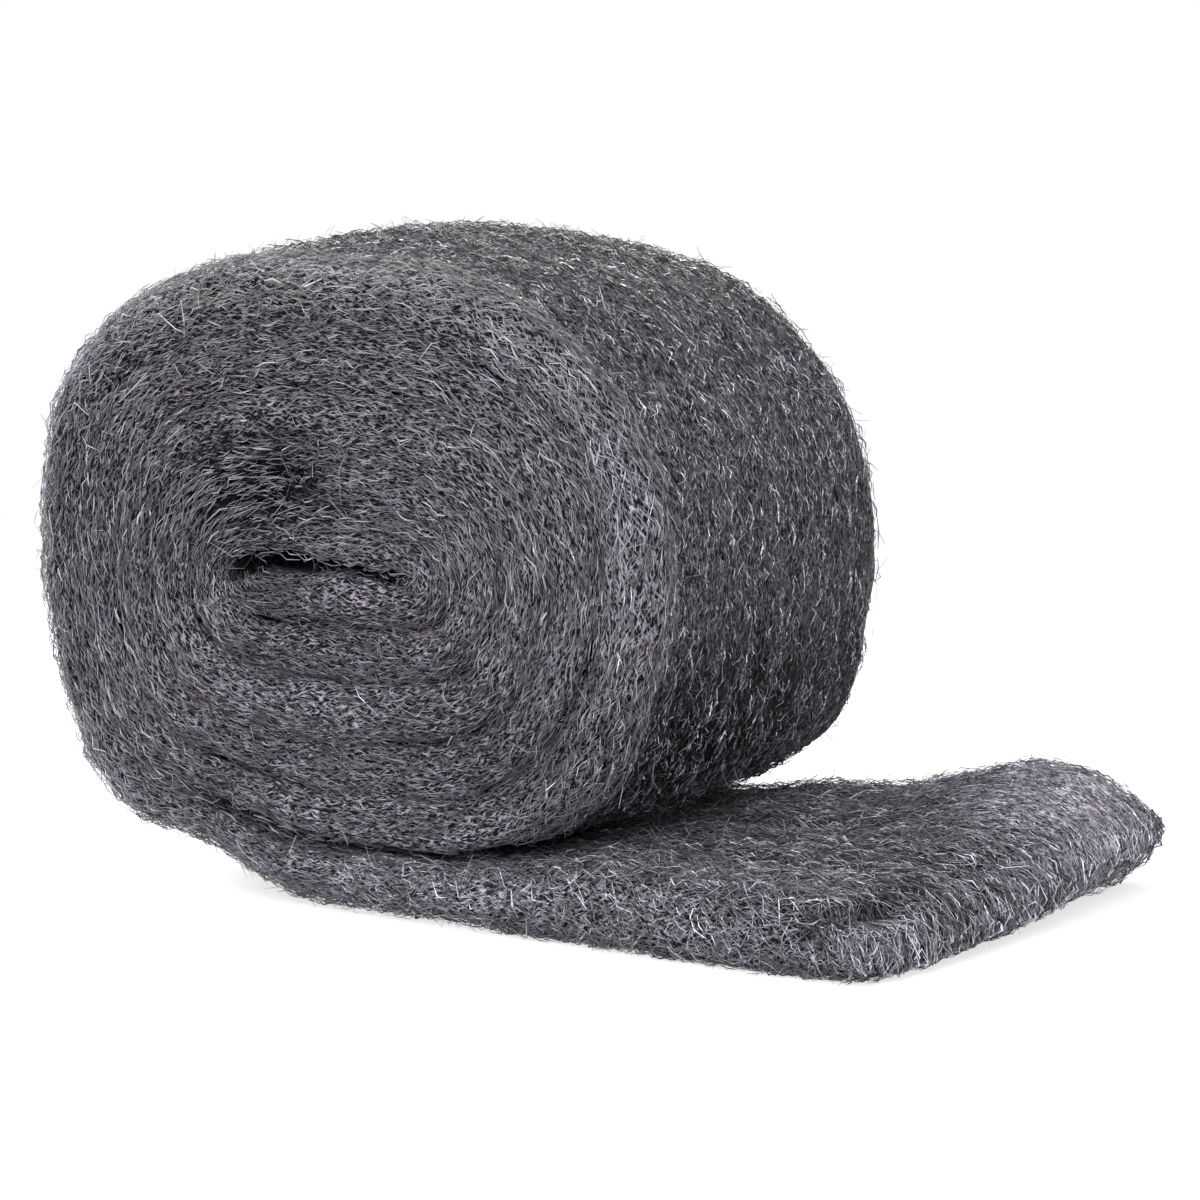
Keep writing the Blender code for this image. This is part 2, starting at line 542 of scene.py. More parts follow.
class Skin(Protocol):
    """A surface that fibres lie on."""

    def streak(self, start: np.ndarray, side: np.ndarray) -> np.ndarray:
        """How light the wool is at each place, 1 where it is as elsewhere.

        Args:
            start: first coordinate of the place.
            side: second coordinate of the place.

        Returns:
            A factor for each place.
        """

    def draw(self, rng: np.random.Generator, count: int) -> tuple[np.ndarray, np.ndarray]:
        """Picks places spread over the surface.

        Args:
            rng: where the chance comes from.
            count: how many places.

        Returns:
            Two coordinates for each place, in the surface's own terms.
        """

    def points(
        self, start: np.ndarray, side: np.ndarray, along: np.ndarray, over: np.ndarray, height: np.ndarray
    ) -> np.ndarray:
        """Points some distance from places on the surface, as rows of x, y, z.

        Args:
            start: first coordinate of the place.
            side: second coordinate of the place.
            along: metres from it the way that the strip runs.
            over: metres from it square to that.
            height: metres out from the surface.

        Returns:
            An array with one row for each point.
        """


@dataclass(frozen=True)
class Dent:
    """A smooth hollow or swelling at one place of the strip's skin, which is section_length round."""

    run: float
    round_section: float
    reach: tuple[float, float]
    height: float
    section_length: float

    def at(self, run: np.ndarray, round_section: np.ndarray) -> np.ndarray:
        """How far the skin stands out, in metres.

        Args:
            run: metres along the strip.
            round_section: metres round its section.

        Returns:
            The dent's height at each place.
        """
        half = self.section_length / 2
        away = (round_section - self.round_section + half) % self.section_length - half
        return self.height * bell(run, away, (self.run, 0.0), self.reach)


class Stretch(NamedTuple):
    """A stretch of the strip's skin, in metres along and round, and its share of the fibres."""

    run_from: float
    run_to: float
    round_from: float
    round_to: float
    share: float = 1.0


@dataclass(frozen=True)
class StripSkin:
    """The skin of the strip itself, or some stretches of it.

    The rim's painted shade is a place round the section, its reach, and how much lighter the wool is
    there: a dark band painted along the groove beside the rim.
    """

    strip: WoundStrip
    relief: tuple[Unevenness | Dent, ...]
    stretches: tuple[Stretch, ...] = ()
    rim_painted_shade: tuple[float, float, float] = (17.0 * MM, 1.6 * MM, -0.30)

    def streak(self, start: np.ndarray, side: np.ndarray) -> np.ndarray:
        """The streaks that run along the strip, and the painted shade in the groove beside the rim."""
        # painted shade along the groove beside the rim
        at, reach, change = self.rim_painted_shade
        return 1.0 + STREAKS.at(start, side) + change * np.exp(-(((side - at) / reach) ** 2))

    def bumps(self, run: np.ndarray, round_section: np.ndarray) -> np.ndarray:
        """How far the skin stands out from the even one."""
        return sum(part.at(run, round_section) for part in self.relief)

    def over(self, *stretches: Stretch) -> "StripSkin":
        """The same skin with other stretches."""
        return StripSkin(self.strip, self.relief, stretches)

    def draw(self, rng: np.random.Generator, count: int) -> tuple[np.ndarray, np.ndarray]:
        """Picks places spread over the stretches.

        Args:
            rng: where the chance comes from.
            count: how many places.

        Returns:
            Metres along the strip and metres round its section.
        """
        table = np.array(self.stretches)
        pick = table[rng.choice(len(table), size=count, p=table[:, 4] / table[:, 4].sum())]
        return rng.uniform(pick[:, 0], pick[:, 1]), rng.uniform(pick[:, 2], pick[:, 3])

    def points(
        self, start: np.ndarray, side: np.ndarray, along: np.ndarray, over: np.ndarray, height: np.ndarray
    ) -> np.ndarray:
        """Points some distance from places on the skin, as rows of x, y, z.

        A way that leads past the free end's tip goes on over it and back on the other side.

        Args:
            start: metres along the strip.
            side: metres round its section.
            along: metres further along the strip.
            over: metres further round its section.
            height: metres out from the skin.

        Returns:
            An array with one row for each point.
        """
        strip, end = self.strip, self.strip.end_run
        run, round_section = start + along, side + over
        over_tip = run > end
        run = np.where(over_tip, 2.0 * end - run, run)
        round_section = np.where(over_tip, strip.edge_length - round_section, round_section)
        round_section = round_section % strip.section_length
        return strip.skin(run, round_section, height + self.bumps(run, round_section))


@dataclass(frozen=True)
class TipSkin(StripSkin):
    """The last few millimetres of the free end, where the skin turns over the tip."""

    reach: float = 7.0 * MM

    def draw(self, rng: np.random.Generator, count: int) -> tuple[np.ndarray, np.ndarray]:
        """Picks places over the tip, closer together where it is steep.

        Args:
            rng: where the chance comes from.
            count: how many places.

        Returns:
            Metres along the strip and metres round its section.
        """
        back = self.reach * rng.uniform(0.0, 1.0, count) ** 3
        return self.strip.end_run - back, rng.uniform(0.0, self.strip.section_length, count)


@dataclass(frozen=True)
class FaceSkin:
    """The flat end of the roll as one surface over all the turns' edges.

    The side is -1 for the near end and 1 for the far one. Widths are in turns, where not in metres.
    """

    strip: WoundStrip
    side: float
    first_turns: float = 0.02
    overhang: float = 0.08
    rim_left: float = 0.42
    groove_width: float = 0.15
    groove_depth: float = 0.5 * MM
    groove_thinning: float = 0.5
    least_degree: float = 0.05 * MM
    candidates: int = 6
    turn_length: float = 0.25

    def streak(self, start: np.ndarray, side: np.ndarray) -> np.ndarray:
        """The streaks that follow the winding, turn after turn.

        Args:
            start: direction from the eye in degrees.
            side: how many turns out.

        Returns:
            A factor for each place.
        """
        back = (self.strip.last_angle - start) % FULL_TURN / FULL_TURN
        inwards = self.outermost(start) - side
        turn = np.floor(inwards)
        return 1.0 + STREAKS.at((turn + back) * self.turn_length, (inwards - turn) * self.strip.pitch_up)

    def degree(self, angle: np.ndarray, turns: np.ndarray) -> np.ndarray:
        """How long one degree of the winding is.

        Args:
            angle: direction from the eye in degrees.
            turns: how many turns out.

        Returns:
            Metres to the degree at each place.
        """
        edge = np.full_like(angle, self.side)
        ahead = np.stack(self.strip.contour(turns, angle + 0.5, edge), axis=-1)
        behind = np.stack(self.strip.contour(turns, angle - 0.5, edge), axis=-1)
        return np.maximum(np.linalg.norm(ahead - behind, axis=-1), self.least_degree)

    def outermost(self, angle: np.ndarray) -> np.ndarray:
        """How many turns out the roll's outer surface lies in a direction."""
        back = (self.strip.last_angle - angle) % FULL_TURN
        return self.strip.turns - back / FULL_TURN + 0.5

    def innermost(self, angle: np.ndarray) -> np.ndarray:
        """Where the eye's wall lies.

        Args:
            angle: direction from the eye in degrees.

        Returns:
            How many turns out it is in each direction.
        """
        strip = self.strip
        ahead = (angle - strip.first_angle) % FULL_TURN
        start = strip.turns - (strip.last_angle - strip.first_angle) / FULL_TURN - 0.5
        return np.maximum(start + ahead / FULL_TURN - self.overhang, self.first_turns)

    def groove(self, angle: np.ndarray, turns: np.ndarray) -> np.ndarray:
        """1 in the groove between two turns, falling to 0 over each turn's edge."""
        away = (self.outermost(angle) - turns + 0.5) % 1.0 - 0.5
        return np.exp(-((away / self.groove_width) ** 2))

    def draw(self, rng: np.random.Generator, count: int) -> tuple[np.ndarray, np.ndarray]:
        """Picks places spread evenly over the end face, and fewer in the grooves.

        Args:
            rng: where the chance comes from.
            count: how many places.

        Returns:
            Directions from the eye in degrees, and how many turns out.
        """
        angle = rng.uniform(0.0, FULL_TURN, self.candidates * count)
        inner = self.innermost(angle)
        span = self.outermost(angle) - self.rim_left - inner
        turns = inner + span * rng.uniform(0.0, 1.0, len(angle))
        thinned = 1.0 - self.groove_thinning * self.groove(angle, turns)
        weight = span * self.degree(angle, turns) * thinned
        pick = rng.choice(len(angle), size=count, replace=False, p=weight / weight.sum())
        return angle[pick], turns[pick]

    def points(
        self, start: np.ndarray, side: np.ndarray, along: np.ndarray, over: np.ndarray, height: np.ndarray
    ) -> np.ndarray:
        """Points some distance from places on the end face, as rows of x, y, z.

        Args:
            start: direction from the eye in degrees.
            side: how many turns out.
            along: metres round the eye.
            over: metres outwards.
            height: metres out from the face.

        Returns:
            An array with one row for each point.
        """
        strip = self.strip
        angle = start + along / self.degree(start, side)
        turns = np.maximum(side + over / strip.pitch_up, 0.0)
        x, z = strip.contour(turns, angle, np.full_like(turns, self.side))
        half = strip.width / 2 - strip.recess(turns, x, z, np.full_like(turns, self.side))
        out = height - self.groove_depth * self.groove(angle, turns)
        return np.stack([x, self.side * (half + out), z], axis=-1)


@dataclass(frozen=True)
class PaintedPatch:
    """A place in the room, in metres, where light or shade is painted into the wool's colour, so that it
    is darker or lighter than elsewhere.
    """

    at: tuple[float, float, float]
    reach: tuple[float, float, float]
    factor: float

    def over(self, points: np.ndarray) -> np.ndarray:
        """How much the painted light and shade change the colour at each point."""
        away = (points - np.array(self.at)) / np.array(self.reach)
        return 1.0 + (self.factor - 1.0) * np.exp(-(away**2).sum(axis=-1))


@dataclass(frozen=True)
class PaintedLightAndShade:
    """Light and shade painted into the wool's colour: painted shade in the hollow above the eye, in the
    eye, in the slits, on the face's upper left, on the free end and under the roll, and painted light on
    the lower face, the rim, the see-through lobe, the tip and the free end's near edge.
    """

    places: tuple[PaintedPatch, ...] = (
        # painted shade in the hollow above the eye, in the eye and in the slit below it
        PaintedPatch((-0.0250, -0.047, 0.0762), (0.014, 0.020, 0.0082), 0.12),
        PaintedPatch((-0.0140, -0.047, 0.0800), (0.014, 0.020, 0.0082), 0.12),
        PaintedPatch((-0.0205, -0.047, 0.0775), (0.017, 0.020, 0.0085), 0.50),
        PaintedPatch((-0.0180, -0.047, 0.0640), (0.009, 0.020, 0.0026), 0.15),
        PaintedPatch((0.0020, -0.047, 0.0655), (0.012, 0.020, 0.0014), 0.40),
        PaintedPatch((-0.0155, -0.047, 0.0548), (0.009, 0.020, 0.0022), 0.40),
        # painted light on the lower face, painted shade on the face's upper left, a painted highlight at
        # the rim on the right
        PaintedPatch((0.0050, -0.047, 0.0330), (0.060, 0.020, 0.0300), 1.50),
        PaintedPatch((-0.0450, -0.047, 0.0850), (0.035, 0.020, 0.0400), 0.86),
        PaintedPatch((0.0640, -0.046, 0.0520), (0.014, 0.014, 0.0330), 1.60),
        # painted light where the lobe is thin and see-through, painted shade on the free end between the
        # lobe and the near corner, painted light on the tip's lower half and along the free end's near
        # edge
        PaintedPatch((0.1120, 0.028, 0.0190), (0.018, 0.026, 0.0120), 5.20),
        PaintedPatch((0.1070, -0.018, 0.0140), (0.026, 0.030, 0.0160), 0.46),
        PaintedPatch((0.1210, 0.030, 0.0050), (0.014, 0.035, 0.0090), 1.40),
        PaintedPatch((0.0350, -0.048, 0.0090), (0.060, 0.012, 0.0080), 1.76),
        # painted shadow on the band under the roll
        PaintedPatch((0.0600, -0.015, 0.0290), (0.018, 0.075, 0.0210), 0.14),
        PaintedPatch((0.0640, 0.010, 0.0420), (0.010, 0.050, 0.0120), 0.52),
    )

    def over(self, points: np.ndarray) -> np.ndarray:
        """Reads the painted light and shade.

        Args:
            points: where, as rows of x, y, z.

        Returns:
            The painted factor at each point, 1 where nothing changes it.
        """
        tone_and_painted_light = np.ones(points.shape[:-1])
        for place in self.places:
            tone_and_painted_light = tone_and_painted_light * place.over(points)
        return tone_and_painted_light


@dataclass(frozen=True)
class Crease:
    """The fold that runs over the near corner of the free end: a dent in the skin, with painted shade in
    it.

    A place is the metres past the start of the free end and the metres round the section.
    """

    places: tuple[tuple[float, float], ...] = (
        (102.5 * MM, 4.5 * MM),
        (107.0 * MM, 4.0 * MM),
        (111.0 * MM, 1.8 * MM),
        (112.3 * MM, -2.4 * MM),
        (112.5 * MM, -6.5 * MM),
    )
    reach: float = 2.2 * MM
    depth: float = 4.2 * MM
    # how dark the painted shade in the fold is
    shade: float = 0.06
    painted_shade_reach: float = 3.2 * MM

    def dents(self, strip: WoundStrip) -> tuple[Dent, ...]:
        """The fold's hollows.

        Args:
            strip: the strip that it lies in.

        Returns:
            One dent for each of its places.
        """
        leave, total, spread = strip.leave_run, strip.section_length, (self.reach, self.reach)
        return tuple(
            Dent(leave + run, around, spread, -self.depth, total) for run, around in self.places
        )

    def painted_light_and_shade(self, strip: WoundStrip) -> tuple[PaintedPatch, ...]:
        """The fold's painted shade.

        Args:
            strip: the strip that it lies in.

        Returns:
            One painted patch for each of its places.
        """
        run, around = np.array(self.places).T
        middles = strip.bare_skin(strip.leave_run + run, around % strip.section_length)
        return tuple(PaintedPatch(tuple(at), (self.painted_shade_reach,) * 3, self.shade) for at in middles)


@dataclass(frozen=True)
class Relief:
    """What lifts and dents the even skin: lumps all over, the fold, and a ridge and groove at the rim.

    The ridge and the groove are each a place round the section, its reach and its height.
    """

    lumps: tuple[Unevenness, ...] = (
        Unevenness(seed=3, along=22.0 * MM, across=5.5 * MM, height=0.50 * MM),
        Unevenness(seed=4, along=8.0 * MM, across=2.6 * MM, height=0.25 * MM),
    )
    rim_before: float = 200.0 * MM
    rim_length: float = 180.0 * MM
    ridge: tuple[float, float, float] = (10.0 * MM, 3.0 * MM, 0.9 * MM)
    groove: tuple[float, float, float] = (16.5 * MM, 2.5 * MM, -0.7 * MM)

    def parts(self, strip: WoundStrip, crease: Crease) -> tuple[Unevenness | Dent, ...]:
        """Lists them for one strip.

        Args:
            strip: the strip.
            crease: the fold in its free end.

        Returns:
            The lumps and the dents.
        """
        run = strip.leave_run - self.rim_before
        rim = tuple(
            Dent(run, around, (self.rim_length, reach), height, strip.section_length)
            for around, reach, height in (self.ridge, self.groove)
        )
        return (*self.lumps, *crease.dents(strip), *rim)


class Coat(Enum):
    """Which part of the skin a layer of fibres covers."""

    NEAR_EDGE = "near_edge_fibres"
    NEAR_FACE = "near_face_fibres"
    FAR_EDGE = "far_edge_fibres"
    FAR_FACE = "far_face_fibres"
    FRONT_BAND = "front_band_fibres"
    BACK_BAND = "back_band_fibres"
    RIM = "rim_fibres"
    FREE_END = "free_end_fibres"
    TIP = "tip_fibres"
    STRAY = "stray_fibres"


@dataclass(frozen=True)
class Gloss:
    """How bare steel reflects: half metal, satin, and dull where it is seen edge on."""

    roughness: float
    specular: float
    metallic: float = 0.5
    edge_gloss: float = 0.5

    def inputs(self) -> Inputs:
        """The shader's inputs for it."""
        return {
            "Roughness": self.roughness,
            "Metallic": self.metallic,
            "Specular IOR Level": self.specular,
            "Specular Tint": (*(self.edge_gloss,) * 3, 1.0),
        }


@dataclass(frozen=True)
class MatFinish:
    """The dense mat under the loose fibres: dark steel crossed by fine strands.

    A layer of strands is their slope in degrees, and how many to the metre along and across.
    """

    dark: tuple[float, float, float] = (0.006, 0.0057, 0.0072)
    light: tuple[float, float, float] = (0.265, 0.253, 0.292)
    strands: tuple[tuple[float, float, float], ...] = (
        (0.0, 520.0, 2900.0),
        (15.0, 500.0, 2800.0),
        (-16.0, 480.0, 3000.0),
    )
    strand_from: float = 0.55
    strand_to: float = 0.70
    wander: float = 0.6 * MM
    curl_scale: float = 420.0
    gloss: Gloss = Gloss(roughness=0.5, specular=0.15)
    relief: float = 0.35 * MM

    def strand_layer(
        self, tree: bpy.types.NodeTree, place: bpy.types.NodeSocket, layer: tuple[float, float, float]
    ) -> bpy.types.NodeSocket:
        """Draws one layer of strands that run one way: the high places of a stretched noise.

        Args:
            tree: the material's node tree.
            place: where on the strip, in metres.
            layer: the strands' slope in degrees, and how many to the metre along and across.

        Returns:
            1 on a strand and 0 between strands.
        """
        slope, along, across = layer
        turned = add_node(
            tree,
            "Mapping",
            {
                "Vector": place,
                "Rotation": (0.0, 0.0, math.radians(slope)),
                "Scale": (1.0 / along, 1.0 / across, 1.0),
            },
            vector_type="TEXTURE",
        )
        noise = add_node(
            tree,
            "TexNoise",
            {"Vector": turned.outputs["Vector"], "Scale": 1.0, "Detail": 1.0},
            noise_dimensions="2D",
        )
        limits = {"From Min": self.strand_from, "From Max": self.strand_to}
        return add_node(tree, "MapRange", {"Value": noise.outputs["Fac"], **limits}).outputs["Result"]

    def material(self) -> bpy.types.Material:
        """Builds the material.

        Returns:
            The material, which reads the UV map that follows the strip and the painted light and shade.
        """
        made, tree = new_material("steel_mat")
        uv = add_node(tree, "UVMap", {}, uv_map="strip").outputs["UV"]
        curls = add_node(
            tree,
            "TexNoise",
            {"Vector": uv, "Scale": self.curl_scale, "Detail": 1.0},
            noise_dimensions="2D",
        )
        shift = (self.wander, self.wander, 0.0)
        place = add_node(
            tree, "VectorMath", {0: curls.outputs["Color"], 1: shift, 2: uv}, operation="MULTIPLY_ADD"
        )
        height, *others = (
            self.strand_layer(tree, place.outputs["Vector"], layer) for layer in self.strands
        )
        for strand in others:
            higher = add_node(tree, "Math", {0: height, 1: strand}, operation="MAXIMUM")
            height = higher.outputs["Value"]
        colour = add_node(
            tree,
            "Mix",
            {"Factor": height, "A": (*self.dark, 1.0), "B": (*self.light, 1.0)},
            data_type="RGBA",
        )
        # the painted light and shade scale the mat's colour
        tone_and_painted_light = add_node(tree, "Attribute", {}, attribute_name="tone_and_painted_light")
        toned = add_node(
            tree,
            "VectorMath",
            {"Vector": colour.outputs["Result"], "Scale": tone_and_painted_light.outputs["Fac"]},
            operation="SCALE",
        )
        bump = add_node(tree, "Bump", {"Distance": self.relief, "Height": height})
        finish = {"Base Color": toned.outputs["Vector"], "Normal": bump.outputs["Normal"]}
        feed(tree, tree.nodes["Principled BSDF"], {**finish, **self.gloss.inputs()})
        return made


@dataclass(frozen=True)
class FibreFinish:
    """Bare steel fibre: grey metal with a satin gloss, each fibre its own shade.

    In patches the wool is neutral grey, and high on the roll it is painted neutral grey for the white
    light that falls from above; elsewhere it has a trace of violet.
    """

    violet: tuple[float, float, float] = (0.192, 0.183, 0.212)
    neutral: tuple[float, float, float] = (0.200, 0.200, 0.205)
    top_light_from: float = 0.100
    top_light_to: float = 0.122
    patch: float = 45.0
    patch_share: float = 0.6
    grain: float = 0.0
    grain_scale: float = 1500.0
    grain_from: float = 0.35
    grain_to: float = 0.65
    gloss: Gloss = Gloss(roughness=0.52, specular=0.2)

    def tint(self, tree: bpy.types.NodeTree, place: bpy.types.NodeSocket) -> bpy.types.NodeSocket:
        """Mixes the two greys.

        Args:
            tree: the material's node tree.
            place: where, in Object coordinates.

        Returns:
            The colour before each fibre's shade.
        """
        patches = add_node(tree, "TexNoise", {"Vector": place, "Scale": self.patch})
        apart = add_node(tree, "SeparateXYZ", {"Vector": place})
        # neutral grey high on the roll: painted top light
        limits = {"From Min": self.top_light_from, "From Max": self.top_light_to}
        high = add_node(tree, "MapRange", {"Value": apart.outputs["Z"], **limits})
        both = add_node(
            tree,
            "Math",
            {0: patches.outputs["Fac"], 1: self.patch_share, 2: high.outputs["Result"]},
            operation="MULTIPLY_ADD",
            use_clamp=True,
        )
        greys = {"A": (*self.violet, 1.0), "B": (*self.neutral, 1.0)}
        mixed = add_node(tree, "Mix", {"Factor": both.outputs["Value"], **greys}, data_type="RGBA")
        return mixed.outputs["Result"]

    def material(self, name: str) -> bpy.types.Material:
        """Builds the material.

        Args:
            name: the material's name.

        Returns:
            The material, which reads Object coordinates and each fibre's shade, with the painted light
            and shade in it.
        """
        made, tree = new_material(name)
        place = add_node(tree, "TexCoord", {}).outputs["Object"]
        grains = add_node(tree, "TexNoise", {"Vector": place, "Scale": self.grain_scale, "Detail": 0.0})
        read = {"From Min": self.grain_from, "From Max": self.grain_to}
        given = {"To Min": 1.0 - self.grain, "To Max": 1.0 + self.grain}
        level = add_node(tree, "MapRange", {"Value": grains.outputs["Fac"], **read, **given})
        shade = add_node(tree, "Attribute", {}, attribute_name="shade")
        grained = add_node(
            tree, "Math", {0: shade.outputs["Fac"], 1: level.outputs["Result"]}, operation="MULTIPLY"
        )
        shaded = add_node(
            tree,
            "VectorMath",
            {"Vector": self.tint(tree, place), "Scale": grained.outputs["Value"]},
            operation="SCALE",
        )
        finish = {"Base Color": shaded.outputs["Vector"]}
        feed(tree, tree.nodes["Principled BSDF"], {**finish, **self.gloss.inputs()})
        return made


@dataclass(frozen=True)
class Mat:
    """The dense body of the strip, one closed piece under the loose fibres."""

    skin: StripSkin
    painted_light_and_shade: PaintedLightAndShade
    finish: MatFinish = MatFinish()
    station: float = 2.2 * MM
    tip_stations: int = 9
    edge_cells: int = 12
    side_cells: int = 24
    sunk: float = 0.6 * MM
    taper_stations: float = 4.0

    def ring(self) -> np.ndarray:
        """Spreads the corners of one ring round the section.

        Returns:
            Metres round the section to each corner.
        """
        edge, side = self.skin.strip.edge_length, self.skin.strip.side_length
        corners = (0.0, edge, edge + side, 2 * edge + side, 2 * (edge + side))
        cells = (self.edge_cells, self.side_cells) * 2
        spans = zip(corners[:-1], corners[1:], cells)
        return np.concatenate([np.linspace(*span, endpoint=False) for span in spans])

    def stations(self) -> np.ndarray:
        """Spreads the rings along the strip, closer together at the free end's tip.

        Returns:
            Metres along the strip to each ring.
        """
        strip = self.skin.strip
        nose = strip.end_run - strip.nose_length
        even = np.arange(0.0, nose - self.station / 2, self.station)
        swing = np.linspace(0.0, math.pi / 2, self.tip_stations)
        return np.concatenate([even, nose + strip.nose_length * np.sin(swing)])

    def tube(self, corners: int, lengths: int) -> tuple[bmesh.types.BMesh, np.ndarray, np.ndarray]:
        """Makes a closed tube, cut into rings.

        Args:
            corners: how many corners a ring has.
            lengths: how many lengths lie between the rings.

        Returns:
            The mesh, and for each of its vertices the number of its ring and of its corner.
        """
        bm = bmesh.new()
        bmesh.ops.create_cone(
            bm, cap_ends=True, segments=corners, radius1=1.0, radius2=1.0, depth=float(lengths)
        )
        bmesh.ops.translate(bm, verts=bm.verts, vec=(0.0, 0.0, lengths / 2.0))
        long_edges = [e for e in bm.edges if abs(e.verts[0].co.z - e.verts[1].co.z) > 0.5 * lengths]
        bmesh.ops.subdivide_edges(bm, edges=long_edges, cuts=lengths - 1)
        bm.verts.ensure_lookup_table()
        old = np.array([v.co for v in bm.verts])
        swing = np.arctan2(old[:, 1], old[:, 0]) % (2.0 * math.pi)
        corner = np.rint(swing / (2.0 * math.pi) * corners).astype(int) % corners
        return bm, np.rint(old[:, 2]).astype(int), corner

    def lay_map(self, bm: bmesh.types.BMesh, run: np.ndarray, around: np.ndarray) -> None:
        """Gives the mesh the UV map that follows the strip, in metres.

        Args:
            bm: the mesh.
            run: metres along the strip to each vertex.
            around: metres round the section to each vertex.
        """
        layer = bm.loops.layers.uv.new("strip")
        total = self.skin.strip.section_length
        for face in bm.faces:
            spots = [around[loop.vert.index] for loop in face.loops]
            wraps = max(spots) - min(spots) > total / 2
            for loop, spot in zip(face.loops, spots):
                spot = spot + total if wraps and spot < total / 2 else spot
                loop[layer].uv = (run[loop.vert.index], spot)

    def build(self) -> bpy.types.Object:
        """Builds the piece: a tube whose rings are each laid where the strip has them.

        Returns:
            The finished object.
        """
        ring, stations = self.ring(), self.stations()
        bm, number, corner = self.tube(len(ring), len(stations) - 1)
        run, around = stations[number], ring[corner]
        from_end = np.minimum(number, len(stations) - 1 - number)
        taper = np.minimum(1.0, from_end / self.taper_stations)
        height = (self.skin.bumps(run, around) - self.sunk) * taper
        placed = self.skin.strip.skin(run, around, height)
        placed[:, 2] = np.maximum(placed[:, 2], 0.0)
        for vertex, where in zip(bm.verts, placed):
            vertex.co = where
        self.lay_map(bm, run, around)
        bmesh.ops.recalc_face_normals(bm, faces=bm.faces)
        mesh = bpy.data.meshes.new("wool_mat")
        bm.to_mesh(mesh)
        bm.free()
        mesh.shade_smooth()
        # the painted light and shade go into the mat's colour at each vertex
        give_numbers(mesh, "tone_and_painted_light", self.painted_light_and_shade.over(placed))
        mesh.materials.append(self.finish.material())
        piece = link_object("wool_mat", mesh)
        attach(piece, ROOT)
        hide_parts(NODE)
        return piece


